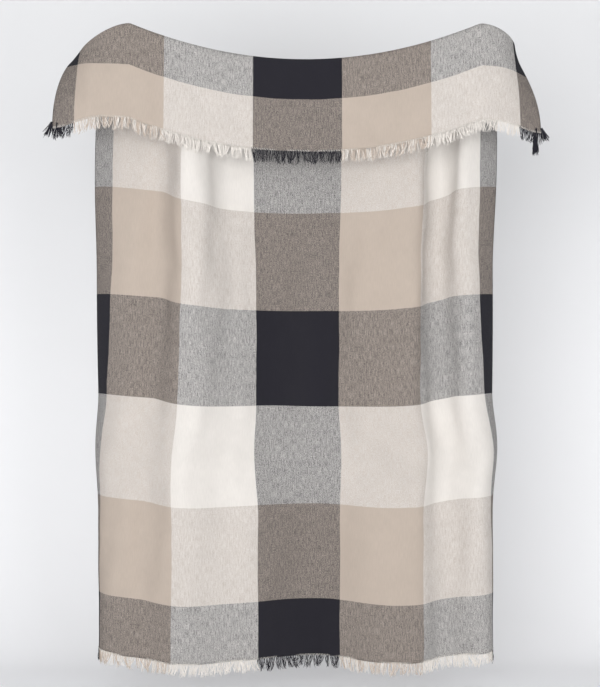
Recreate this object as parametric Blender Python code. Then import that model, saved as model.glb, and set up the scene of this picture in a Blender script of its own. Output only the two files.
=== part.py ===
"""A plaid throw held up by its top fold: a short flap in front, a long drop behind, fringe on both ends.

Blender 4.5, metres, +Z up, +X to the right, -Y to the front. The origin is the middle of the top fold.
The cloth is laid out flat first: u runs across it, v runs along it from the fold, down the drop when
positive and down the flap when negative. drape() then says where each flat point hangs.
"""

import bmesh
import bpy
import numpy as np

# The flat cloth.
EDGE_STRIPE = 0.075  # width of the outer black warp stripes
STRIPE = 0.230  # width of the five inner warp stripes
DROP = 1.550  # fold to lower hem
FLAP = 0.258  # fold to upper hem
THICKNESS = 0.003
FRINGE = 0.029  # length of the loose yarn ends
STITCH = 0.0030  # height of the overcast row at a hem
SEAM = 0.0014  # clearance between neighbouring solids
WIDTH = 5 * STRIPE + 2 * EDGE_STRIPE

# How it is held. Places across the cloth are shares of half its width, minus one at the left selvedge.
HOLD_LEFT = -0.66
HOLD_RIGHT = 0.73
SAG = 0.093  # the fold's middle below the holds
SAG_REACH = 0.75  # length of drop over which the sag dies out
LEFT_DROOP = 0.095  # fall of the fold from the left hold to its selvedge
RIGHT_DROOP = 0.050
WING_REACH = 0.080  # distance from the fold over which that fall dies out
FOLD_RADIUS = 0.011
FOLD_REACH = 0.300  # distance from the fold over which its roundness dies out
FLAP_LEAN = 0.14  # forward lean of the flap, as a slope
DROP_BACK = 0.060  # how far the drop hangs behind the fold
BACK_FULL = 0.15  # distance from the fold where it is that far back
CORNER_DROOP = 0.030  # fall of the flap's lower corners
CORNER_SHARE = 0.25  # share of half the width that it reaches over
PULLS = (0.92, 0.98, 0.95, 1.00, 0.98)  # hanging over flat length: selvedge, hold, middle, hold, selvedge
WING_LIFT = 0.030  # lift of the flap's middle beyond the left hold
SETTLE = 0.018  # how far the drop settles between its sides and its middle, at the hem
SETTLE_CENTRE, SETTLE_HALF = 0.50, 0.45
RISE = 0.033  # lift of the drop's sides, full a little below the fold
RISE_START, RISE_FULL, RISE_REACH = 0.54, 0.30, 0.25

# Upright folds, as angles in degrees that the cloth turns to, seen from above.
EDGE_REACH = 0.34  # share of half the width over which a selvedge rolls back
EDGE_UPPER, EDGE_CREST = 40.0, 90.0  # at the flap's hem and at the fold
EDGE_UNDER, EDGE_LOWER = 50.0, 100.0  # where the tucks are full and at the lower hem
TUCK_FULL = 0.26  # distance from the fold where the tucks are full
TUCKS = ((-0.48, 0.22, 65.0, 35.0), (0.66, 0.18, -80.0, -50.0))  # centre, half width, upper and lower angle
WAVES = (  # spacing, shift, angle, and the distances where it starts, is full and ends
    (0.21, 0.00, -30.0, 0.20, 0.60, 1.15),
    (0.33, -0.08, 30.0, 0.90, 1.20, 9.00),
)
WAVE_SHARE, WAVE_FADE = 0.50, 0.25  # place where the waves end, and how soon they die out

# Mesh.
TURN_STEPS = 260  # steps across the cloth when the turning angles are summed
STRIPE_COLUMNS = 8
EDGE_COLUMNS = 4  # a fringe has one yarn bunch to each column
ROW_STEP = 0.080
FIRST_ROW = 0.050  # distance from the fold of the first evenly spaced row
FOLD_ROWS = 5
FLAP_ROWS = 8
FOLD_GAP = 0.006  # clearance between the drop's solids and the flap's, which move past each other
SEAM_MIDDLE = 0.002  # where the flap's solids start, between the holds
SEAM_CORNER = 0.130  # and at the selvedges
SEAM_TAPER = 0.077  # share of half the width inside each hold where the start begins to change
NUDGE = 0.0005  # distance between neighbours when a direction is measured

BLACK = (0.030, 0.029, 0.034)
TAN = (0.560, 0.475, 0.405)
CREAM = (0.850, 0.810, 0.765)
STRIPES = (
    ("left_edge", BLACK, EDGE_STRIPE),
    ("left_tan", TAN, STRIPE),
    ("left_cream", CREAM, STRIPE),
    ("centre_black", BLACK, STRIPE),
    ("right_tan", TAN, STRIPE),
    ("right_cream", CREAM, STRIPE),
    ("right_edge", BLACK, EDGE_STRIPE),
)


def ease(t):
    """A smooth step from 0 to 1 as t goes from 0 to 1."""
    t = np.clip(t, 0.0, 1.0)
    return t * t * (3.0 - 2.0 * t)


def edge_turn(place, v):
    """How far each selvedge rolls back, in degrees: least at the flap's hem, most at the lower one."""
    if v < 0:
        degrees = EDGE_CREST + (EDGE_UPPER - EDGE_CREST) * ease(-v / FLAP)
    else:
        degrees = EDGE_CREST + (EDGE_UNDER - EDGE_CREST) * ease(v / TUCK_FULL)
        degrees += (EDGE_LOWER - EDGE_UNDER) * ease((v - TUCK_FULL) / (DROP - TUCK_FULL))
    return np.sign(place) * degrees * ease((np.abs(place) - 1 + EDGE_REACH) / EDGE_REACH)


def tuck_turn(place, v):
    """What the tucks add, in degrees: forward on one side of each and back on the other."""
    total = 0.0
    for centre, half, upper, lower in TUCKS:
        degrees = upper + (lower - upper) * ease((v - TUCK_FULL) / (DROP - TUCK_FULL))
        near = np.clip((place - centre) / half, -1.0, 1.0)
        total = total + degrees * ease(v / TUCK_FULL) * np.sin(np.pi * near)
    return total


def wave_turn(place, v):
    """What the waves across the middle add, in degrees, dying out towards the tucks."""
    total = 0.0
    for spacing, shift, degrees, starts, full, ends in WAVES:
        strength = ease((v - starts) / (full - starts)) * ease((ends - v) / TUCK_FULL)
        total = total + degrees * strength * np.cos(np.pi * (place - shift) / spacing)
    return total * ease((WAVE_SHARE - np.abs(place)) / WAVE_FADE)


def turn(u, v):
    """The cloth's turning angle in plan, in radians, at flat points u on one row."""
    place = u / (WIDTH / 2)
    return np.radians(edge_turn(place, v) + tuck_turn(place, v) + wave_turn(place, v))


def plan(u, v):
    """Where flat points u on the row at v lie in plan, and the row's direction there."""
    steps = np.linspace(-WIDTH / 2, WIDTH / 2, TURN_STEPS + 1)
    angle = turn(steps, v)
    gap = steps[1] - steps[0]
    x = np.concatenate([[0.0], np.cumsum(0.5 * gap * (np.cos(angle[1:]) + np.cos(angle[:-1])))])
    y = np.concatenate([[0.0], np.cumsum(0.5 * gap * (np.sin(angle[1:]) + np.sin(angle[:-1])))])
    middle = TURN_STEPS // 2
    x, y = x - x[middle], y - y[middle]
    return np.interp(u, steps, x), np.interp(u, steps, y), turn(u, v)


def fold_height(u):
    """The fold's height, a shallow sag between the holds, and its droop outside them."""
    place = u / (WIDTH / 2)
    offset = (2 * place - HOLD_LEFT - HOLD_RIGHT) / (HOLD_RIGHT - HOLD_LEFT)
    droop = LEFT_DROOP * ease((HOLD_LEFT - place) / (1 + HOLD_LEFT))
    droop += RIGHT_DROOP * ease((place - HOLD_RIGHT) / (1 - HOLD_RIGHT))
    return SAG * np.minimum(offset**2, 1.0), droop


def flap_fall(u, away, down):
    """How far flat points u of the flap hang below the fold, at that distance from it."""
    place = u / (WIDTH / 2)
    pull = np.interp(place, (-1.0, HOLD_LEFT, 0.0, HOLD_RIGHT, 1.0), PULLS)
    corner = CORNER_DROOP * ease((np.abs(place) - 1 + CORNER_SHARE) / CORNER_SHARE)
    wing = WING_LIFT * ease((HOLD_LEFT - place) / (1 + HOLD_LEFT))
    return down * pull + corner * (away / FLAP) ** 2 - wing * np.sin(np.pi * away / FLAP)


def drop_settle(u, v):
    """How far the drop lies below level rows: it settles between the folds and rises at its sides."""
    place = np.abs(u / (WIDTH / 2))
    near = np.clip((place - SETTLE_CENTRE) / SETTLE_HALF, -1.0, 1.0)
    settled = SETTLE * 0.5 * (1.0 + np.cos(np.pi * near)) * ease(v / DROP)
    fading = np.exp(-max(v - RISE_FULL, 0.0) / RISE_REACH)
    risen = RISE * ease((place - RISE_START) / (1 - RISE_START)) * ease(v / RISE_FULL) * fading
    return settled - risen


def drape(u, v):
    """Where flat points (u, v) of one row hang, as an array of x, y, z rows."""
    x, y, angle = plan(u, v)
    away = abs(v)
    bend = min(away / FOLD_RADIUS, np.pi / 2)
    side = FOLD_RADIUS * np.sin(bend) * np.exp(-away / FOLD_REACH) * (-1.0 if v < 0 else 1.0)
    straight = max(away - FOLD_RADIUS * np.pi / 2, 0.0)
    down = FOLD_RADIUS * (1.0 - np.cos(bend)) + straight
    top, droop = fold_height(u)
    droop = droop * np.exp(-away / WING_REACH)
    if v < 0:
        z = top - droop - flap_fall(u, away, down)
        y = y - FLAP_LEAN * straight
    else:
        z = top * np.exp(-v / SAG_REACH) - droop - down - drop_settle(u, v)
        y = y + DROP_BACK * ease(v / BACK_FULL)
    x = x - np.sin(angle) * side
    y = y + np.cos(angle) * side
    return np.column_stack([x, y, z])


def surface(u, v):
    """Points and unit normals of the cloth, the normals pointing out on the flap's show side."""
    u, v = np.asarray(u, float), np.asarray(v, float)
    points, sideways, downward = (np.zeros((len(u), 3)) for _ in range(3))
    for row in np.unique(np.round(v, 6)):
        here = np.abs(v - row) < 1e-6
        points[here] = drape(u[here], row)
        sideways[here] = drape(u[here] + NUDGE, row) - drape(u[here] - NUDGE, row)
        downward[here] = drape(u[here], row + NUDGE) - drape(u[here], row - NUDGE)
    normals = np.cross(sideways, downward)
    return points, normals / np.linalg.norm(normals, axis=1)[:, None]


def make_material(name, colour):
    """A matt cloth material for one node."""
    material = bpy.data.materials.new(name)
    material.use_nodes = True
    shader = material.node_tree.nodes["Principled BSDF"]
    shader.inputs["Base Color"].default_value = (*colour, 1.0)
    shader.inputs["Roughness"].default_value = 0.95
    shader.inputs["Metallic"].default_value = 0.0
    return material


def make_sheet(name, colour, u_lines, v_lines, thickness=THICKNESS, parent=None):
    """One closed solid of draped cloth over a grid of flat lines. v_lines(u) gives each column's rows."""
    rows = len(v_lines(u_lines[0]))
    bm = bmesh.new()
    bmesh.ops.create_grid(bm, x_segments=len(u_lines) - 1, y_segments=rows - 1, size=0.5)
    made = bmesh.ops.extrude_face_region(bm, geom=bm.faces[:], use_keep_orig=True)
    show_side = {item for item in made["geom"] if isinstance(item, bmesh.types.BMVert)}
    verts = list(bm.verts)
    columns = [round((vert.co.x + 0.5) * (len(u_lines) - 1)) for vert in verts]
    levels = [round((vert.co.y + 0.5) * (rows - 1)) for vert in verts]
    flat_u = [u_lines[column] for column in columns]
    flat_v = [v_lines(u)[level] for u, level in zip(flat_u, levels)]
    points, normals = surface(flat_u, flat_v)
    for vert, point, normal in zip(verts, points, normals):
        vert.co = point + normal * thickness / 2 * (1.0 if vert in show_side else -1.0)
    bmesh.ops.recalc_face_normals(bm, faces=bm.faces[:])
    if bm.calc_volume(signed=True) < 0:
        bmesh.ops.reverse_faces(bm, faces=bm.faces[:])
    mesh = bpy.data.meshes.new(name)
    bm.to_mesh(mesh)
    bm.free()
    mesh.shade_smooth()
    mesh.set_sharp_from_angle(angle=np.radians(60))
    mesh.materials.append(make_material(name, colour))
    sheet = bpy.data.objects.new(name, mesh)
    bpy.context.collection.objects.link(sheet)
    if parent is not None:
        sheet.parent = parent
        sheet.matrix_parent_inverse = parent.matrix_world.inverted()
    return sheet


def split_line(u):
    """Flat v of the line where the flap's solids meet the drop's."""
    inner = (HOLD_RIGHT - HOLD_LEFT) / 2 - SEAM_TAPER
    offset = abs(u / (WIDTH / 2) - (HOLD_LEFT + HOLD_RIGHT) / 2)
    return -(SEAM_MIDDLE + (SEAM_CORNER - SEAM_MIDDLE) * float(ease((offset - inner) / (1 - inner))))


def drop_rows(u):
    """Flat v of the rows of a drop solid, from the split line over the fold to the lower hem."""
    start = split_line(u) + FOLD_GAP / 2
    quarter = FOLD_RADIUS * np.pi / 2
    over = [start * (1.0 - t) ** 2 + quarter * t for t in np.linspace(0.0, 1.0, FOLD_ROWS)]
    below = np.linspace(FIRST_ROW, DROP - STITCH - SEAM, round((DROP - FIRST_ROW) / ROW_STEP) + 1)
    return over + list(below)


def flap_rows(u):
    """Flat v of the rows of a flap solid, from the split line to the upper hem."""
    start, hem = split_line(u) - FOLD_GAP / 2, -FLAP + STITCH + SEAM
    return [start + (hem - start) * t**2 for t in np.linspace(0.0, 1.0, FLAP_ROWS)]


def fringe_rows(hem, u_lines):
    """Flat v of the top and the toothed lower edge of a fringe, hem being 1 for lower, -1 for upper."""
    start = DROP if hem > 0 else FLAP

    def rows(u):
        tooth = u_lines.index(u) % 2
        length = FRINGE * (1.0 if tooth else 0.75)
        return [hem * (start + SEAM), hem * (start + length)]

    return rows


def stitch_rows(hem):
    """Flat v of the two edges of the overcast row at a hem."""
    start = DROP if hem > 0 else FLAP
    return lambda u: [hem * (start - STITCH), hem * start]


def build():
    """Builds the whole throw."""
    for old in list(bpy.data.objects):
        bpy.data.objects.remove(old, do_unlink=True)
    hinge = bpy.data.objects.new("flap_fold_axis", None)
    hinge.location = (0.0, 0.0, SAG)
    bpy.context.collection.objects.link(hinge)
    bpy.context.view_layer.update()

    left = -WIDTH / 2
    across = []
    for name, colour, width in STRIPES:
        columns = EDGE_COLUMNS if width < STRIPE else STRIPE_COLUMNS
        lines = list(np.linspace(left + SEAM / 2, left + width - SEAM / 2, columns + 1))
        tips = list(np.linspace(left + SEAM / 2, left + width - SEAM / 2, 2 * columns + 1))
        make_sheet(f"{name}_drop", colour, lines, drop_rows)
        make_sheet(f"{name}_flap", colour, tips, flap_rows, parent=hinge)
        make_sheet(f"{name}_lower_fringe", colour, tips, fringe_rows(1, tips))
        make_sheet(f"{name}_upper_fringe", colour, tips, fringe_rows(-1, tips), parent=hinge)
        across += tips
        left += width

    make_sheet("lower_hem_stitch", CREAM, across, stitch_rows(1))
    make_sheet("upper_hem_stitch", CREAM, across, stitch_rows(-1), parent=hinge)


build()
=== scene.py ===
import logging
from dataclasses import dataclass, field
from enum import Enum
from typing import Sequence

import bmesh
import bpy
import numpy as np
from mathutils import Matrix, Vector


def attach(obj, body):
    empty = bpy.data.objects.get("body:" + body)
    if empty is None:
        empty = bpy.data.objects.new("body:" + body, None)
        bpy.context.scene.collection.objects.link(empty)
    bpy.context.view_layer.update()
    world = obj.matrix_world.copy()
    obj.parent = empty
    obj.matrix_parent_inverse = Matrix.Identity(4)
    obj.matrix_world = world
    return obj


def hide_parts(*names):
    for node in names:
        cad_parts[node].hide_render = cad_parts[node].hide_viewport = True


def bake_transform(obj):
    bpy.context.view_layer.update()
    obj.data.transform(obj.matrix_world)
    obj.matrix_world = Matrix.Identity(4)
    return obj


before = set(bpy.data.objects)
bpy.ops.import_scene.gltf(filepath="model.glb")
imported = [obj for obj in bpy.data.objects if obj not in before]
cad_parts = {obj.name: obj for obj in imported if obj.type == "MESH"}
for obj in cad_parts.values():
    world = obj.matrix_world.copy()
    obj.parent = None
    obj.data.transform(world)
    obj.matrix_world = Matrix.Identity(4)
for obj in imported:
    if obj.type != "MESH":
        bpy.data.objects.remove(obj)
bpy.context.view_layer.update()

LOG = logging.getLogger("throw")

Array = np.ndarray
Numbers = tuple[float, ...]
Colour = tuple[float, float, float]
Socket = bpy.types.NodeSocket


class Yarn(Enum):
    """The three yarns the throw is woven from, as linear colours."""

    BLACK = (0.0210, 0.0200, 0.0270)
    TAN = (0.5600, 0.4750, 0.4050)
    CREAM = (0.8500, 0.8100, 0.7650)


class Hem(Enum):
    """The throw's two fringed ends: the body each rides on, and the way its fringe runs along the cloth."""

    LOWER = ("drop", 1.0)
    UPPER = ("flap", -1.0)

    @property
    def body(self) -> str:
        """The moving body this hem belongs to."""
        return self.value[0]

    @property
    def way(self) -> float:
        """Plus one when the fringe runs towards greater lengths, minus one otherwise."""
        return self.value[1]


@dataclass(frozen=True)
class Stripe:
    """One lengthwise stripe: its name in the frame, its yarn and its width."""

    name: str
    yarn: Yarn
    width: float


@dataclass(frozen=True)
class Band:
    """One crosswise band: the yarn it is woven with and where it ends, measured down from the fold."""

    yarn: Yarn
    end: float


STRIPES = (
    Stripe("left_edge", Yarn.BLACK, 0.075),
    Stripe("left_tan", Yarn.TAN, 0.230),
    Stripe("left_cream", Yarn.CREAM, 0.230),
    Stripe("centre_black", Yarn.BLACK, 0.230),
    Stripe("right_tan", Yarn.TAN, 0.230),
    Stripe("right_cream", Yarn.CREAM, 0.230),
    Stripe("right_edge", Yarn.BLACK, 0.075),
)
BANDS = (
    Band(Yarn.TAN, -0.118),
    Band(Yarn.BLACK, 0.145),
    Band(Yarn.CREAM, 0.395),
    Band(Yarn.TAN, 0.650),
    Band(Yarn.BLACK, 0.900),
    Band(Yarn.CREAM, 1.150),
    Band(Yarn.TAN, 1.400),
    Band(Yarn.BLACK, 1.550),
)


def ease(t: Array | float) -> Array:
    """Zero to one with a soft start and a soft end."""
    t = np.clip(t, 0.0, 1.0)
    return t * t * (3.0 - 2.0 * t)


@dataclass(frozen=True)
class Tuck:
    """An upright tuck that takes up width on one side, in degrees below the flap and at the lower hem."""

    centre: float
    half_width: float
    upper: float
    lower: float


@dataclass(frozen=True)
class Wave:
    """Soft upright waves across the middle: spacing, shift, angle, and the lengths they come and go over."""

    spacing: float
    shift: float
    degrees: float
    starts: float
    full: float
    ends: float


@dataclass
class Drape:
    """How the flat cloth hangs from its two holds.

    Flat places are (u, v): u across from the middle, v along from the fold, with v below zero on the
    flap that hangs in front. Places across that belong to a fold are shares of half the width, minus
    one at the left selvedge.
    """

    width: float = 1.300
    drop: float = 1.550
    flap: float = 0.258
    hold_left: float = -0.66
    hold_right: float = 0.73
    sag: float = 0.093
    sag_reach: float = 0.75
    left_droop: float = 0.095
    right_droop: float = 0.050
    wing_reach: float = 0.080
    fold_radius: float = 0.011
    fold_reach: float = 0.300
    flap_lean: float = 0.14
    drop_back: float = 0.060
    back_full: float = 0.15
    corner_droop: float = 0.030
    corner_share: float = 0.25
    pulls: Numbers = (0.92, 0.98, 0.95, 1.00, 0.98)
    wing_lift: float = 0.030
    settle: float = 0.018
    settle_centre: float = 0.50
    settle_half: float = 0.45
    rise: float = 0.033
    rise_start: float = 0.54
    rise_full: float = 0.30
    rise_reach: float = 0.25
    seam_middle: float = 0.002
    seam_corner: float = 0.130
    seam_taper: float = 0.077
    edge_reach: float = 0.34
    edge_degrees: tuple[float, float, float, float] = (40.0, 90.0, 50.0, 100.0)
    tuck_full: float = 0.26
    tucks: tuple[Tuck, ...] = (Tuck(-0.48, 0.22, 65.0, 35.0), Tuck(0.66, 0.18, -80.0, -50.0))
    waves: tuple[Wave, ...] = (
        Wave(0.21, 0.00, -30.0, 0.20, 0.60, 1.15),
        Wave(0.33, -0.08, 30.0, 0.90, 1.20, 9.00),
    )
    wave_share: float = 0.50
    wave_fade: float = 0.25
    turn_steps: int = 260

    def share(self, u: Array) -> Array:
        """Places across the cloth as shares of half its width."""
        return u / (self.width / 2)

    def edge_turn(self, place: Array, v: Array) -> Array:
        """How far each selvedge rolls back, in degrees: least at the flap's hem, most at the lower one."""
        upper, crest, under, lower = self.edge_degrees
        on_flap = crest + (upper - crest) * ease(-v / self.flap)
        on_drop = crest + (under - crest) * ease(v / self.tuck_full)
        on_drop = on_drop + (lower - under) * ease((v - self.tuck_full) / (self.drop - self.tuck_full))
        degrees = np.where(v < 0, on_flap, on_drop)
        return np.sign(place) * degrees * ease((np.abs(place) - 1 + self.edge_reach) / self.edge_reach)

    def tuck_turn(self, place: Array, v: Array) -> Array:
        """What the tucks add, in degrees: forward on one side of each and back on the other."""
        total = 0.0
        for tuck in self.tucks:
            below = ease((v - self.tuck_full) / (self.drop - self.tuck_full))
            degrees = tuck.upper + (tuck.lower - tuck.upper) * below
            near = np.clip((place - tuck.centre) / tuck.half_width, -1.0, 1.0)
            total = total + degrees * ease(v / self.tuck_full) * np.sin(np.pi * near)
        return total

    def wave_turn(self, place: Array, v: Array) -> Array:
        """What the waves add, in degrees, dying out towards the tucks."""
        total = 0.0
        for wave in self.waves:
            coming = ease((v - wave.starts) / (wave.full - wave.starts))
            strength = coming * ease((wave.ends - v) / self.tuck_full)
            total = total + wave.degrees * strength * np.cos(np.pi * (place - wave.shift) / wave.spacing)
        return total * ease((self.wave_share - np.abs(place)) / self.wave_fade)

    def turn(self, u: Array, v: Array) -> Array:
        """The angle the cloth has turned to, seen from above, in radians."""
        place = self.share(u)
        return np.radians(self.edge_turn(place, v) + self.tuck_turn(place, v) + self.wave_turn(place, v))

    def plan(self, u: Array, v: Array) -> tuple[Array, Array, Array]:
        """Follows the folds from the middle of the cloth outwards.

        Args:
            u: places across the cloth.
            v: lengths from the fold, of the same shape.

        Returns:
            x and y of the cloth seen from above, and the angle it has turned to.
        """
        steps = np.linspace(-self.width / 2, self.width / 2, self.turn_steps + 1)
        rows, where = np.unique(v, return_inverse=True)
        angle = self.turn(steps[None, :], rows[:, None])
        size = steps[1] - steps[0]
        walks = []
        for part in (np.cos(angle), np.sin(angle)):
            summed = np.cumsum((part[:, 1:] + part[:, :-1]) / 2, 1)
            walk = np.concatenate([np.zeros((len(rows), 1)), summed], 1)
            walks.append((walk - walk[:, [self.turn_steps // 2]]) * size)
        place = np.clip((u - steps[0]) / size, 0, self.turn_steps - 1e-9)
        i = place.astype(int)
        t = place - i
        row = where.reshape(np.shape(v))
        x, y = (walk[row, i] * (1 - t) + walk[row, i + 1] * t for walk in walks)
        return x, y, self.turn(u, v)

    def fold_height(self, u: Array) -> tuple[Array, Array]:
        """The height of the fold's crest above its middle, and how far it droops beyond the holds."""
        place = self.share(u)
        offset = (2 * place - self.hold_left - self.hold_right) / (self.hold_right - self.hold_left)
        left = self.left_droop * ease((self.hold_left - place) / (1 + self.hold_left))
        right = self.right_droop * ease((place - self.hold_right) / (1 - self.hold_right))
        return self.sag * np.minimum(offset**2, 1.0), left + right

    def flap_fall(self, u: Array, away: Array, down: Array) -> Array:
        """How far the flap hangs below the fold.

        Args:
            u: places across the cloth.
            away: lengths from the fold.
            down: the same lengths less what the fold's roundness takes up.

        Returns:
            The fall at each place.
        """
        place = self.share(u)
        pull = np.interp(place, (-1.0, self.hold_left, 0.0, self.hold_right, 1.0), self.pulls)
        corner = self.corner_droop * ease((np.abs(place) - 1 + self.corner_share) / self.corner_share)
        wing = self.wing_lift * ease((self.hold_left - place) / (1 + self.hold_left))
        return down * pull + corner * (away / self.flap) ** 2 - wing * np.sin(np.pi * away / self.flap)

    def drop_settle(self, u: Array, v: Array) -> Array:
        """How far the drop lies below level rows: it settles between the folds and rises at its sides."""
        place = np.abs(self.share(u))
        near = np.clip((place - self.settle_centre) / self.settle_half, -1.0, 1.0)
        settled = self.settle * 0.5 * (1 + np.cos(np.pi * near)) * ease(v / self.drop)
        fading = np.exp(-np.maximum(v - self.rise_full, 0.0) / self.rise_reach)
        beyond = ease((place - self.rise_start) / (1 - self.rise_start))
        return settled - self.rise * beyond * ease(v / self.rise_full) * fading

    def place(self, u: Array, v: Array) -> Array:
        """Where flat places hang.

        Args:
            u: places across the cloth.
            v: lengths from the fold, of the same shape.

        Returns:
            Points, with x, y and z on the last axis.
        """
        u, v = np.broadcast_arrays(np.asarray(u, float), np.asarray(v, float))
        x, y, angle = self.plan(u, v)
        away = np.abs(v)
        bend = np.minimum(away / self.fold_radius, np.pi / 2)
        way = np.where(v < 0, -1.0, 1.0)
        side = self.fold_radius * np.sin(bend) * np.exp(-away / self.fold_reach) * way
        straight = np.maximum(away - self.fold_radius * np.pi / 2, 0.0)
        down = self.fold_radius * (1 - np.cos(bend)) + straight
        top, droop = self.fold_height(u)
        droop = droop * np.exp(-away / self.wing_reach)
        in_front = top - droop - self.flap_fall(u, away, down)
        behind = top * np.exp(-away / self.sag_reach) - droop - down - self.drop_settle(u, v)
        lean = np.where(v < 0, -self.flap_lean * straight, self.drop_back * ease(v / self.back_full))
        x = x - np.sin(angle) * side
        y = y + lean + np.cos(angle) * side
        return np.stack([x, y, np.where(v < 0, in_front, behind)], -1)

    def surface(self, u: Array, v: Array, step: float = 0.0005) -> tuple[Array, Array]:
        """Points of the cloth and the directions it faces there.

        Args:
            u: places across the cloth.
            v: lengths from the fold, of the same shape.
            step: how far apart the neighbours are that the direction is measured from.

        Returns:
            Points and unit normals; the normals face the viewer on the drop.
        """
        across = self.place(u + step, v) - self.place(u - step, v)
        down = self.place(u, v + step) - self.place(u, v - step)
        normal = np.cross(down, across)
        return self.place(u, v), normal / np.linalg.norm(normal, axis=-1, keepdims=True)

    def split_line(self, u: Array) -> Array:
        """Where the flap begins, along the cloth: at the crest between the holds, lower at the corners."""
        inner = (self.hold_right - self.hold_left) / 2 - self.seam_taper
        offset = np.abs(self.share(u) - (self.hold_left + self.hold_right) / 2)
        lower = ease((offset - inner) / (1 - inner))
        return -(self.seam_middle + (self.seam_corner - self.seam_middle) * lower)

    def hem_length(self, hem: Hem) -> float:
        """The length from the fold to that hem, below zero for the flap's."""
        return self.drop if hem is Hem.LOWER else -self.flap


class NodeTree:
    """Short ways to add and join shader nodes in one tree."""

    def __init__(self, tree: bpy.types.NodeTree) -> None:
        """Starts from an empty tree."""
        self.tree = tree
        tree.nodes.clear()

    def add(self, kind: str, inputs: dict | None = None, **settings: object) -> bpy.types.Node:
        """Adds one node.

        Args:
            kind: the node's type name.
            inputs: a value, or the socket to join, for each input by name or number.
            settings: the node's own settings.

        Returns:
            The node.
        """
        node = self.tree.nodes.new(kind)
        for name, value in settings.items():
            setattr(node, name, value)
        for key, value in (inputs or {}).items():
            if isinstance(value, Socket):
                self.tree.links.new(value, node.inputs[key])
            else:
                node.inputs[key].default_value = value
        return node

    def math(self, operation: str, *values: float | Socket, clamp: bool = False) -> Socket:
        """One sum, product or other operation on numbers."""
        node = self.add("ShaderNodeMath", dict(enumerate(values)), operation=operation, use_clamp=clamp)
        return node.outputs[0]

    def mix(self, factor: float | Socket, a: object, b: object, blend: str = "MIX") -> Socket:
        """Mixes two colours."""
        node = self.add("ShaderNodeMix", {0: factor, 6: a, 7: b}, data_type="RGBA", blend_type=blend)
        return node.outputs[2]

    def mix_numbers(self, factor: float | Socket, a: float | Socket, b: float | Socket) -> Socket:
        """Mixes two numbers."""
        return self.add("ShaderNodeMix", {0: factor, 2: a, 3: b}, data_type="FLOAT").outputs[0]

    def remap(
        self, value: Socket, low: float, high: float, to_low: float, to_high: float, soft: bool = True
    ) -> Socket:
        """Maps one range of numbers onto another, held at its ends."""
        inputs = {"Value": value, "From Min": low, "From Max": high, "To Min": to_low, "To Max": to_high}
        way = "SMOOTHSTEP" if soft else "LINEAR"
        return self.add("ShaderNodeMapRange", inputs, interpolation_type=way).outputs[0]

    def noise(self, vector: Socket, scale: Sequence[float], detail: float = 2.0) -> Socket:
        """Noise from zero to one, with its own scale on each axis."""
        place = self.add("ShaderNodeVectorMath", {0: vector, 1: tuple(scale)}, operation="MULTIPLY")
        inputs = {"Vector": place.outputs[0], "Scale": 1.0, "Detail": detail}
        return self.add("ShaderNodeTexNoise", inputs).outputs[0]

    def steps(self, factor: Socket, stops: Sequence[tuple[float, Colour]]) -> Socket:
        """Colours that change at once from one stop to the next."""
        node = self.add("ShaderNodeValToRGB", {0: factor})
        ramp = node.color_ramp
        ramp.interpolation = "CONSTANT"
        ramp.elements.remove(ramp.elements[1])
        for i, (position, colour) in enumerate(stops):
            stop = ramp.elements[0] if i == 0 else ramp.elements.new(position)
            stop.position, stop.color = position, (*colour, 1.0)
        return node.outputs[0]


class NodeGroup(NodeTree):
    """A shader node group that several finishes share."""

    def __init__(self, name: str, inputs: dict[str, str], outputs: dict[str, str]) -> None:
        """Starts a group with these sockets.

        Args:
            name: the group's name.
            inputs: the type of each input socket, by its name.
            outputs: the type of each output socket, by its name.
        """
        super().__init__(bpy.data.node_groups.new(name, "ShaderNodeTree"))
        for sockets, way in ((inputs, "INPUT"), (outputs, "OUTPUT")):
            for socket, kind in sockets.items():
                self.tree.interface.new_socket(socket, in_out=way, socket_type=f"NodeSocket{kind}")
        self.start = self.add("NodeGroupInput").outputs
        self.end = self.add("NodeGroupOutput").inputs

    def give(self, name: str, value: Socket) -> None:
        """Joins a result to an output of the group."""
        self.tree.links.new(value, self.end[name])


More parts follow.
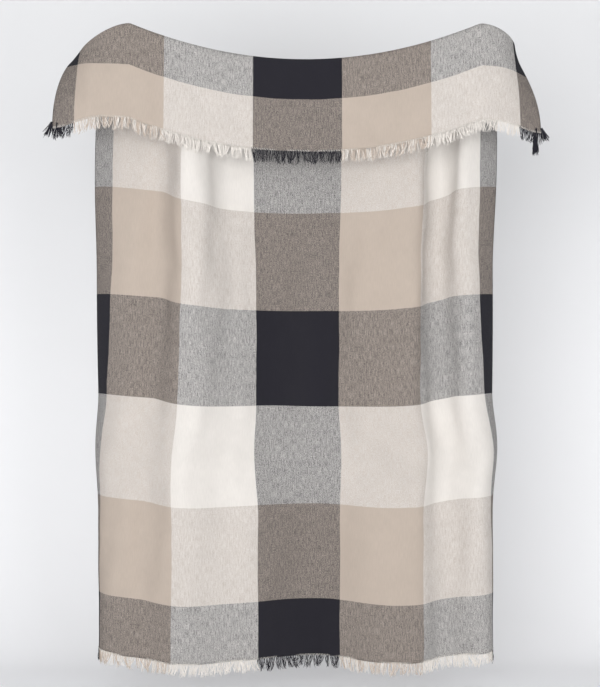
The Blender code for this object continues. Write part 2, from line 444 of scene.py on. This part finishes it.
@dataclass(frozen=True)
class WeaveGroup:
    """The weave itself: which yarn lies on top, its relief, and how its tone wanders."""

    pitch: float = 0.00105
    crossing: float = 0.20
    warp_lead: float = 0.016
    streak: tuple[float, float] = (0.0026, 0.020)
    streak_strength: float = 0.42
    fleck: tuple[float, float] = (0.0014, 0.0036)
    fleck_strength: float = 0.50
    patch: float = 0.055

    def build(self) -> bpy.types.NodeTree:
        """Builds the group, whose input is the flat place on the cloth in metres."""
        group = NodeGroup("Weave", {"Place": "Vector"}, {"Warp": "Float", "Relief": "Float", "Tone": "Float"})
        place = group.start["Place"]
        axes = group.add("ShaderNodeSeparateXYZ", {0: place}).outputs
        waves = [
            group.math("SINE", group.math("MULTIPLY", axes[i], np.pi / self.pitch)) for i in range(2)
        ]
        streak = group.noise(place, (1 / self.streak[0], 1 / self.streak[1], 1.0), 3.0)
        fleck = group.noise(place, (1 / self.fleck[0], 1 / self.fleck[1], 1.0), 1.0)
        patch = group.noise(place, (1 / self.patch,) * 3, 2.0)
        crossed = group.math("MULTIPLY", waves[0], waves[1])
        lifted = group.math("MULTIPLY_ADD", crossed, self.crossing, 0.5 + self.warp_lead)
        for noise, strength in ((streak, self.streak_strength), (fleck, self.fleck_strength)):
            lifted = group.math("MULTIPLY_ADD", group.math("SUBTRACT", noise, 0.5), strength, lifted)
        warp = group.remap(lifted, 0.20, 0.80, 0.0, 1.0)
        group.give("Warp", warp)
        crowns = [group.math("ABSOLUTE", wave) for wave in waves]
        group.give("Relief", group.mix_numbers(warp, crowns[1], crowns[0]))
        group.give("Tone", group.mix_numbers(0.4, streak, patch))
        return group.tree


@dataclass(frozen=True)
class WovenFinish:
    """The check pattern: stripes crossed by bands, with every yarn fuzzy and a little uneven, and painted
    shade in the gaps between the yarns.
    """

    uv_map: str = "Flat"
    # share of painted shade between the yarns, mixed in from each crossing's darker yarn
    yarn_gap_shade_share: float = 0.075
    unevenness: float = 0.10
    mixed_from: float = 0.05
    mixed_tint: Colour = (0.98, 0.995, 1.015)
    relief: float = 0.0009
    roughness: float = 0.95
    sheen: float = 0.04

    def stops(
        self, cuts: Sequence[tuple[float, Yarn]], low: float, high: float
    ) -> list[tuple[float, Colour]]:
        """Ramp stops for yarns that each begin at a flat place between low and high."""
        return [((start - low) / (high - low), yarn.value) for start, yarn in cuts]

    def build(self, drape: Drape, weave: bpy.types.NodeTree) -> bpy.types.Material:
        """Builds the material.

        Args:
            drape: the cloth's sizes.
            weave: the shared weave group.

        Returns:
            The material.
        """
        material = bpy.data.materials.new("woven_check")
        material.use_nodes = True
        nodes = NodeTree(material.node_tree)
        place = nodes.add("ShaderNodeUVMap", uv_map=self.uv_map).outputs[0]
        axes = nodes.add("ShaderNodeSeparateXYZ", {0: place}).outputs
        yarns = nodes.add("ShaderNodeGroup", {}, node_tree=weave)
        nodes.tree.links.new(place, yarns.inputs["Place"])
        edges = np.cumsum([-drape.width / 2] + [s.width for s in STRIPES])
        starts = [-drape.flap] + [b.end for b in BANDS[:-1]]
        warp_cuts = list(zip(edges[:-1], [s.yarn for s in STRIPES]))
        weft_cuts = list(zip(starts, [b.yarn for b in BANDS]))
        colours = []
        for axis, cuts, low, high in (
            (axes[0], warp_cuts, -drape.width / 2, drape.width / 2),
            (axes[1], weft_cuts, -drape.flap, drape.drop),
        ):
            share = nodes.remap(axis, low, high, 0.0, 1.0, soft=False)
            colours.append(nodes.steps(share, self.stops(cuts, low, high)))
        warp, weft = colours
        on_top = nodes.mix(yarns.outputs["Warp"], weft, warp)
        # Painted shade between the yarns: some of each crossing's darker yarn is mixed in to stand for the
        # shadow in the gaps of the weave.
        painted_gap_shade = nodes.mix(1.0, warp, weft, "DARKEN")
        woven = nodes.mix(self.yarn_gap_shade_share, on_top, painted_gap_shade)
        apart = nodes.add("ShaderNodeVectorMath", {0: warp, 1: weft}, operation="DISTANCE").outputs["Value"]
        mixed = nodes.math("GREATER_THAN", apart, self.mixed_from)
        woven = nodes.mix(mixed, woven, nodes.mix(1.0, woven, (*self.mixed_tint, 1.0), "MULTIPLY"))
        tone = nodes.remap(
            yarns.outputs["Tone"], 0.3, 0.7, 1.0 - self.unevenness / 2, 1.0 + self.unevenness / 2, soft=False
        )
        shade = nodes.add("ShaderNodeCombineColor", {0: tone, 1: tone, 2: tone}).outputs[0]
        colour = nodes.mix(1.0, woven, shade, "MULTIPLY")
        bump = nodes.add("ShaderNodeBump", {"Height": yarns.outputs["Relief"], "Distance": self.relief})
        shader = nodes.add(
            "ShaderNodeBsdfPrincipled",
            {
                "Base Color": colour,
                "Roughness": self.roughness,
                "Specular IOR Level": 0.05,
                "Sheen Weight": self.sheen,
                "Sheen Roughness": 0.6,
                "Normal": bump.outputs[0],
            },
        )
        nodes.add("ShaderNodeOutputMaterial", {0: shader.outputs[0]})
        return material


@dataclass(frozen=True)
class YarnFinish:
    """Loose yarn: one colour, or two mixed strand by strand, with a twist and an uneven tone."""

    name: str
    colour: Colour
    second: Colour
    second_share: float = 0.0
    roughness: float = 0.9
    grain: float = 420.0

    def build(self) -> bpy.types.Material:
        """Builds the material, which reads each strand's own number from the `strand` attribute."""
        material = bpy.data.materials.new(self.name)
        material.use_nodes = True
        nodes = NodeTree(material.node_tree)
        place = nodes.add("ShaderNodeTexCoord").outputs["Object"]
        strand = nodes.add("ShaderNodeAttribute", attribute_name="strand").outputs["Fac"]
        is_second = nodes.math("LESS_THAN", strand, self.second_share)
        colour = nodes.mix(is_second, (*self.colour, 1.0), (*self.second, 1.0))
        grain = nodes.noise(place, (self.grain,) * 3)
        tone = nodes.remap(grain, 0.3, 0.7, 0.86, 1.10, soft=False)
        shade = nodes.add("ShaderNodeCombineColor", {0: tone, 1: tone, 2: tone}).outputs[0]
        bump = nodes.add("ShaderNodeBump", {"Height": grain, "Distance": 0.0006})
        shader = nodes.add(
            "ShaderNodeBsdfPrincipled",
            {
                "Base Color": nodes.mix(1.0, colour, shade, "MULTIPLY"),
                "Roughness": self.roughness,
                "Specular IOR Level": 0.05,
                "Sheen Weight": 0.05,
                "Normal": bump.outputs[0],
            },
        )
        nodes.add("ShaderNodeOutputMaterial", {0: shader.outputs[0]})
        return material


@dataclass(frozen=True)
class PaintFinish:
    """Matt paint that changes a little from its low colour to its high one, which on the backdrop is painted
    shade darkening the wall towards its top, and is clear from behind.
    """

    name: str
    low: Colour
    high: Colour
    low_height: float = -1.70
    high_height: float = 0.30
    roughness: float = 0.9

    def build(self) -> bpy.types.Material:
        """Builds the material."""
        material = bpy.data.materials.new(self.name)
        material.use_nodes = True
        nodes = NodeTree(material.node_tree)
        place = nodes.add("ShaderNodeTexCoord").outputs["Object"]
        height = nodes.add("ShaderNodeSeparateXYZ", {0: place}).outputs[2]
        # Painted shade: the colour slides from the low colour to the high one with height.
        share = nodes.remap(height, self.low_height, self.high_height, 0.0, 1.0, soft=False)
        colour = nodes.mix(share, (*self.low, 1.0), (*self.high, 1.0))
        inputs = {"Base Color": colour, "Roughness": self.roughness, "Specular IOR Level": 0.1}
        shader = nodes.add("ShaderNodeBsdfPrincipled", inputs).outputs[0]
        behind = nodes.add("ShaderNodeNewGeometry").outputs["Backfacing"]
        clear = nodes.add("ShaderNodeBsdfTransparent").outputs[0]
        seen = nodes.add("ShaderNodeMixShader", {0: behind, 1: shader, 2: clear}).outputs[0]
        nodes.add("ShaderNodeOutputMaterial", {0: seen})
        return material


def show(name: str, mesh: bpy.types.Mesh, material: bpy.types.Material) -> bpy.types.Object:
    """Puts a mesh in the scene as a smooth object.

    Args:
        name: the object's name.
        mesh: its mesh.
        material: its finish.

    Returns:
        The object.
    """
    mesh.materials.append(material)
    mesh.shade_smooth()
    obj = bpy.data.objects.new(name, mesh)
    bpy.context.scene.collection.objects.link(obj)
    return obj


@dataclass
class Strands:
    """Many thin strands in one mesh, all swept from the same ring of vertices."""

    rings: int = 6
    sides: int = 5
    template: bpy.types.Mesh = field(init=False)

    def __post_init__(self) -> None:
        """Builds one strand of unit radius, with its rings one apart along Z."""
        bm = bmesh.new()
        bmesh.ops.create_circle(bm, cap_ends=True, segments=self.sides, radius=1.0)
        rim = list(bm.edges)
        for _ in range(self.rings - 1):
            made = bmesh.ops.extrude_edge_only(bm, edges=rim)["geom"]
            moved = [e for e in made if isinstance(e, bmesh.types.BMVert)]
            rim = [e for e in made if isinstance(e, bmesh.types.BMEdge) and all(v in moved for v in e.verts)]
            bmesh.ops.translate(bm, vec=(0, 0, 1), verts=moved)
        bmesh.ops.contextual_create(bm, geom=rim)
        bmesh.ops.recalc_face_normals(bm, faces=bm.faces)
        self.template = bpy.data.meshes.new("strand")
        bm.to_mesh(self.template)
        bm.free()

    def sweep(self, name: str, paths: Array, radii: Array, facing: Array, numbers: Array) -> bpy.types.Mesh:
        """Sweeps one strand along each path.

        Args:
            name: the mesh's name.
            paths: the middle of every ring, as strands by rings by three.
            radii: the radius at every ring, as strands by rings.
            facing: a direction across each strand, as strands by three.
            numbers: each strand's own number from zero to one, kept as the `strand` attribute.

        Returns:
            One mesh with every strand.
        """
        bm = bmesh.new()
        for _ in paths:
            bm.from_mesh(self.template)
        mesh = bpy.data.meshes.new(name)
        bm.to_mesh(mesh)
        bm.free()
        unit = np.array([v.co for v in self.template.vertices])
        ring = np.rint(unit[:, 2]).astype(int)
        tangent = np.gradient(paths, axis=1)
        tangent /= np.linalg.norm(tangent, axis=-1, keepdims=True)
        across = np.cross(tangent, facing[:, None, :])
        across /= np.linalg.norm(across, axis=-1, keepdims=True)
        other = np.cross(tangent, across)
        offset = across[:, ring] * unit[:, 0, None] + other[:, ring] * unit[:, 1, None]
        points = paths[:, ring] + offset * radii[:, ring, None]
        mesh.vertices.foreach_set("co", points.astype(np.float32).ravel())
        own = mesh.attributes.new("strand", "FLOAT", "POINT")
        own.data.foreach_set("value", np.repeat(numbers, len(unit)).astype(np.float32))
        mesh.update()
        return mesh


@dataclass
class WovenCloth:
    """The whole throw as one sheet of cloth, from the flap's hem over the fold to the lower hem."""

    drape: Drape
    columns: int = 160
    row: float = 0.0088
    fold_row: float = 0.0022
    fold_rows: float = 0.026
    thickness: float = 0.0024
    bend_reach: float = 0.080
    ripple: float = 0.0012

    def rows(self) -> Array:
        """Lengths of the rows of vertices, closer together over the fold."""
        near = np.arange(-self.fold_rows, self.fold_rows + 1e-9, self.fold_row)
        flap, drop, start = self.drape.flap, self.drape.drop, self.fold_rows
        front = np.linspace(-flap, -start, round((flap - start) / self.row) + 1)
        back = np.linspace(start, drop, round((drop - start) / self.row) + 1)
        return np.concatenate([front[:-1], near, back[1:]])

    def ripples(self, u: Array, v: Array) -> Array:
        """Small waves in the cloth, as distances along its normal."""
        waves = (
            (9.0, 3.0, 0.4, 1.0),
            (5.0, -4.5, 1.9, 0.9),
            (14.0, 2.0, 3.1, 0.5),
            (3.0, 9.0, 5.2, 0.5),
            (21.0, -3.0, 0.9, 0.25),
        )
        total = sum(
            size * np.sin(2 * np.pi * (a * u + b * v) + phase + 2.0 * np.sin(3.0 * v + phase))
            for a, b, phase, size in waves
        )
        inside = ease((self.drape.width / 2 - np.abs(u)) / 0.12)
        return self.ripple * total * ease(np.abs(v) / 0.08) * inside

    def mesh(self) -> tuple[bpy.types.Mesh, Array, Array]:
        """Builds the flat sheet, with its flat places as its UV map.

        Returns:
            The mesh, laid flat with the flap's beginning straight, and u and v of each vertex.
        """
        rows = self.rows()
        columns = np.linspace(-self.drape.width / 2, self.drape.width / 2, self.columns + 1)
        bm = bmesh.new()
        bmesh.ops.create_grid(bm, x_segments=self.columns, y_segments=len(rows) - 1, size=1.0)
        mesh = bpy.data.meshes.new("throw_cloth")
        bm.to_mesh(mesh)
        bm.free()
        flat = np.array([v.co for v in mesh.vertices])
        u = np.interp((flat[:, 0] + 1) / 2 * self.columns, np.arange(len(columns)), columns)
        v = np.interp((flat[:, 1] + 1) / 2 * (len(rows) - 1), np.arange(len(rows)), rows)
        laid = np.stack([u, v - self.drape.split_line(u), np.zeros_like(u)], -1)
        mesh.vertices.foreach_set("co", laid.astype(np.float32).ravel())
        for layer in list(mesh.uv_layers):
            mesh.uv_layers.remove(layer)
        corners = np.array([corner.vertex_index for corner in mesh.loops])
        layer = mesh.uv_layers.new(name="Flat")
        layer.data.foreach_set("uv", np.stack([u, v], -1)[corners].astype(np.float32).ravel())
        return mesh, u, v

    def build(self, material: bpy.types.Material) -> bpy.types.Object:
        """Builds and hangs the cloth.

        Args:
            material: the woven finish.

        Returns:
            The cloth.
        """
        mesh, u, v = self.mesh()
        cloth = show("throw_cloth", mesh, material)
        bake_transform(cloth)
        points, normals = self.drape.surface(u, v)
        points = points + normals * self.ripples(u, v)[:, None]
        mesh.vertices.foreach_set("co", points.astype(np.float32).ravel())
        mesh.update()
        solid = cloth.modifiers.new("thickness", "SOLIDIFY")
        solid.thickness, solid.offset = self.thickness, 0.0
        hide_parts(*[f"{s.name}_{part}" for s in STRIPES for part in ("drop", "flap")])
        LOG.info("cloth: %d by %d cells", self.columns, len(self.rows()) - 1)
        return cloth


@dataclass
class Fringe:
    """The loose yarns beyond a hem, stripe by stripe, drawn together in small uneven clumps."""

    drape: Drape
    cloth: WovenCloth
    hem: Hem
    strands: Strands
    length: float = 0.032
    spacing: float = 0.00135
    radius: float = 0.00062
    clump: float = 0.0065
    inside: float = 0.003
    lean: float = 0.22
    stray: float = 0.10

    def stripe(
        self, stripe: Stripe, start: float, material: bpy.types.Material, seed: int
    ) -> bpy.types.Object:
        """Builds one stripe's fringe.

        Args:
            stripe: the stripe it belongs to.
            start: where the stripe begins across the cloth.
            material: its yarn.
            seed: the start of its random numbers.

        Returns:
            The fringe.
        """
        random = np.random.default_rng(seed)
        count = round(stripe.width / self.spacing)
        u = start + (np.arange(count) + 0.5) * stripe.width / count
        edges = start + np.cumsum(random.uniform(0.5, 1.5, int(stripe.width / self.clump) + 3) * self.clump)
        tufts = np.searchsorted(edges, u)
        members = [tufts == tuft for tuft in range(len(edges) + 1)]
        middles = np.array([u[own].mean() if own.any() else 0.0 for own in members])
        pulls = random.uniform(-0.1, 0.70, len(edges) + 1)
        leans = random.normal(0.0, self.lean, len(edges) + 1)
        tuft_lengths = self.length * random.uniform(0.80, 1.08, len(edges) + 1)
        lengths = tuft_lengths[tufts] * random.uniform(0.90, 1.06, count)
        t = np.linspace(0.0, 1.0, self.strands.rings)
        end = self.drape.hem_length(self.hem)
        way = self.hem.way
        base, normal = self.drape.surface(u, np.full(count, end - way * self.inside))
        ahead, _ = self.drape.surface(u, np.full(count, end))
        down = ahead - base
        down /= np.linalg.norm(down, axis=-1, keepdims=True)
        beside, _ = self.drape.surface(u + 0.002, np.full(count, end))
        across = beside - ahead
        across /= np.linalg.norm(across, axis=-1, keepdims=True)
        falls = down * 0.6 + np.array([0.0, 0.0, -0.4])
        falls /= np.linalg.norm(falls, axis=-1, keepdims=True)
        reach = (lengths + self.inside)[:, None] * t[None, :]
        gather = (middles[tufts] - u) * pulls[tufts]
        sway = (leans[tufts] + random.normal(0.0, self.stray, count)) * self.length
        side = gather[:, None] * t**1.3 + sway[:, None] * t**2
        curl = random.normal(0.0, 0.0013, (count, 1)) * np.sin(t * 5 + random.uniform(0, 6, (count, 1)))
        depth = random.normal(0.0, 0.0016, (count, 1)) * t**0.7 + curl
        paths = (
            base[:, None, :]
            + falls[:, None, :] * reach[:, :, None]
            + across[:, None, :] * (side + curl)[:, :, None]
            + normal[:, None, :] * depth[:, :, None]
        )
        radii = self.radius * random.uniform(0.8, 1.15, (count, 1)) * np.interp(t, [0, 0.75, 1], [1, 1, 0.55])
        name = f"{stripe.name}_{self.hem.name.lower()}_fringe"
        mesh = self.strands.sweep(name + "_yarns", paths, radii, normal, random.random(count))
        obj = show(name + "_yarns", mesh, material)
        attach(obj, self.hem.body)
        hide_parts(name)
        f"{stripe.yarn.name.lower()}_yarn"
        return obj

    def build(self, finishes: dict[Yarn, bpy.types.Material]) -> list[bpy.types.Object]:
        """Builds every stripe's fringe along this hem.

        Args:
            finishes: the material of each yarn.

        Returns:
            The fringes, from left to right.
        """
        starts = np.cumsum([-self.drape.width / 2] + [s.width for s in STRIPES[:-1]])
        made = [
            self.stripe(stripe, start, finishes[stripe.yarn], 17 * i + (3 if self.hem is Hem.LOWER else 211))
            for i, (stripe, start) in enumerate(zip(STRIPES, starts))
        ]
        LOG.info("%s fringe: %d stripes", self.hem.name.lower(), len(made))
        return made


@dataclass
class CornerTuft:
    """A bunch of fringe yarns that hangs off one of the flap's corners, drawn together at its neck."""

    drape: Drape
    strands: Strands
    name: str
    place: tuple[float, float]
    offset: tuple[float, float, float]
    drop: tuple[float, float, float]
    spread: float
    count: int = 46
    neck: float = 0.0035
    radius: float = 0.00075

    def build(self, material: bpy.types.Material, seed: int) -> bpy.types.Object:
        """Builds the tuft.

        Args:
            material: its yarn.
            seed: the start of its random numbers.

        Returns:
            The tuft.
        """
        random = np.random.default_rng(seed)
        start = self.drape.place(np.array([self.place[0]]), np.array([self.place[1]]))[0]
        t = np.linspace(0.0, 1.0, self.strands.rings)
        along, length = np.array(self.drop), random.uniform(0.75, 1.08, self.count)
        turn = random.uniform(0, 2 * np.pi, self.count)
        out = np.stack([np.cos(turn), 0.6 * np.sin(turn), 0.25 * random.normal(0, 1, self.count)], -1)
        widen = self.neck + self.spread * t[None, :] ** 1.4 * random.uniform(0.2, 1.0, (self.count, 1))
        curl = random.normal(0.0, 0.0012, (self.count, 1)) * np.sin(6 * t + turn[:, None])
        paths = (
            start
            + np.array(self.offset) * t[None, :, None] ** 0.5
            + along * (length[:, None] * t)[:, :, None]
            + out[:, None, :] * (widen + curl)[:, :, None]
        )
        taper = np.interp(t, [0, 0.8, 1], [1, 1, 0.6])
        radii = self.radius * random.uniform(0.8, 1.15, (self.count, 1)) * taper
        facing = np.tile([0.0, 1.0, 0.0], (self.count, 1))
        mesh = self.strands.sweep(self.name, paths, radii, facing, random.random(self.count))
        obj = show(self.name, mesh, material)
        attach(obj, "flap")
        LOG.info("%s: %d strands", self.name, self.count)
        return obj


@dataclass
class HemStitch:
    """A slanting overcast thread that binds a hem, over the front, round the edge and up the back."""

    drape: Drape
    cloth: WovenCloth
    hem: Hem
    strands: Strands
    pitch: float = 0.0042
    depth: float = 0.0040
    radius: float = 0.00060

    def build(self, material: bpy.types.Material) -> bpy.types.Object:
        """Builds the thread.

        Args:
            material: its finish.

        Returns:
            The thread.
        """
        end = self.drape.hem_length(self.hem)
        count = round(self.drape.width / self.pitch)
        starts = -self.drape.width / 2 + np.arange(count) * self.pitch + self.pitch * 0.3
        t = np.linspace(0.0, 1.0, self.strands.rings)
        half = self.cloth.thickness / 2
        paths, facing = [], []
        for face in (-1.0, 1.0):
            u = starts[:, None] + self.pitch * (0.5 * t[None, :] if face > 0 else 1.0 - 0.5 * t[None, :])
            v = end + self.hem.way * (0.0006 - self.depth * (1.0 - t[None, :])) * np.ones_like(u)
            points, normal = self.drape.surface(u, v)
            arch = self.radius * 0.7 * np.sin(np.pi * np.clip(t * 1.1, 0, 1))
            lift = half + arch - half * np.clip(t * 4 - 3, 0, 1)
            points = points + normal * (face * lift)[None, :, None]
            paths.append(points)
            facing.append(normal[:, 0])
        paths, facing = np.concatenate(paths), np.concatenate(facing)
        radii = np.full(paths.shape[:2], self.radius)
        name = f"{self.hem.name.lower()}_hem_stitch"
        mesh = self.strands.sweep(name + "_thread", paths, radii, facing, np.zeros(len(paths)))
        obj = show(name + "_thread", mesh, material)
        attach(obj, self.hem.body)
        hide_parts(name)
        LOG.info("%s stitch: %d loops", self.hem.name.lower(), count)
        return obj


@dataclass
class Studio:
    """A pale wall and floor, soft lights and the camera."""

    floor: float = -1.640
    wall: float = 1.20
    half_width: float = 4.0
    height: float = 5.0
    camera_place: tuple[float, float, float] = (0.009, -5.0, -0.731)
    view_angle: float = 20.07

    def backdrop(self, material: bpy.types.Material) -> bpy.types.Object:
        """Builds the floor and the wall as one sheet with a rounded corner."""
        bm = bmesh.new()
        bmesh.ops.create_grid(bm, x_segments=1, y_segments=24, size=1.0)
        radius = 0.8
        profile = [(-7.0, self.floor)]
        for angle in np.linspace(0.0, np.pi / 2, 23):
            profile.append(
                (self.wall - radius + radius * np.sin(angle), self.floor + radius - radius * np.cos(angle))
            )
        profile.append((self.wall, self.floor + self.height))
        for vert in bm.verts:
            y, z = profile[round((vert.co.y + 1) / 2 * 24)]
            vert.co = Vector((vert.co.x * self.half_width, y, z))
        mesh = bpy.data.meshes.new("backdrop")
        bm.to_mesh(mesh)
        bm.free()
        obj = show("backdrop", mesh, material)
        return obj

    def light(
        self, name: str, place: Sequence[float], aim: Sequence[float], size: float, power: float
    ) -> None:
        """Hangs one soft square light.

        Args:
            name: its name.
            place: where it hangs.
            aim: the point it faces.
            size: its side.
            power: its power in watts.
        """
        data = bpy.data.lights.new(name, "AREA")
        data.energy, data.size = power, size
        obj = bpy.data.objects.new(name, data)
        bpy.context.scene.collection.objects.link(obj)
        obj.location = place
        obj.rotation_euler = (Vector(aim) - Vector(place)).to_track_quat("-Z", "Y").to_euler()

    def build(self) -> None:
        """Builds the backdrop, lights, world and camera."""
        # The wall's colour darkens towards the top: painted shade that takes out the extra light the lamps
        # throw there.
        self.backdrop(PaintFinish("backdrop_shaded_paint", (0.93, 0.935, 0.95), (0.69, 0.695, 0.705)).build())
        self.light("key", (-1.6, -6.2, -1.0), (0.0, 0.0, -0.75), 4.0, 425.0)
        self.light("fill", (2.6, -5.4, -0.9), (0.0, 0.0, -0.8), 3.0, 145.0)
        scene = bpy.context.scene
        world = bpy.data.worlds.new("studio")
        world.use_nodes = True
        nodes = NodeTree(world.node_tree)
        air = nodes.add("ShaderNodeBackground", {"Color": (1.0, 1.0, 1.01, 1.0), "Strength": 0.54})
        nodes.add("ShaderNodeOutputWorld", {0: air.outputs[0]})
        scene.world = world
        data = bpy.data.cameras.new("camera")
        data.angle = np.radians(self.view_angle)
        camera = bpy.data.objects.new("camera", data)
        scene.collection.objects.link(camera)
        camera.location = self.camera_place
        camera.rotation_euler = (np.pi / 2, 0.0, 0.0)
        scene.camera = camera
        scene.view_settings.view_transform = "Standard"


def main() -> None:
    """Builds the throw and its studio."""
    logging.basicConfig(level=logging.INFO, format="%(name)s: %(message)s")
    drape = Drape()
    Studio().build()
    cloth = WovenCloth(drape)
    sheet = cloth.build(WovenFinish().build(drape, WeaveGroup().build()))
    cream = (0.76, 0.72, 0.675)
    finishes = {
        Yarn.BLACK: YarnFinish("black_yarn", Yarn.BLACK.value, (0.10, 0.10, 0.10), 0.15).build(),
        Yarn.TAN: YarnFinish("tan_yarn", Yarn.TAN.value, cream, 0.40).build(),
        Yarn.CREAM: YarnFinish("cream_yarn", cream, cream).build(),
    }
    thread = YarnFinish("stitch_thread", (0.66, 0.63, 0.59), (0.66, 0.63, 0.59)).build()
    strands = Strands()
    trims = []
    for hem in Hem:
        trims += Fringe(drape, cloth, hem, strands).build(finishes)
        trims.append(HemStitch(drape, cloth, hem, strands).build(thread))
    shared = (drape, strands)
    left, right, inset = -drape.width / 2, drape.width / 2, 0.02
    outer, inner = -0.247, -0.25  # lengths along the flap where the corner yarns leave it
    tufts = (
        CornerTuft(*shared, "left_corner_tuft", (left, outer), (-0.004, 0, 0), (-0.006, 0, -0.034), 0.014),
        CornerTuft(*shared, "left_inner_tuft", (left + inset, inner), (0, 0, 0), (0.006, 0, -0.03), 0.010),
        CornerTuft(*shared, "right_corner_tuft", (right - inset, inner), (0, 0, -0.03), (0, 0, -0.036), 0.006),
        CornerTuft(*shared, "right_outer_tuft", (right, outer), (0.004, 0, 0), (0.008, 0, -0.030), 0.010),
    )
    trims += [tuft.build(finishes[Yarn.BLACK], 31 + i) for i, tuft in enumerate(tufts)]


if __name__ == "__main__":
    main()
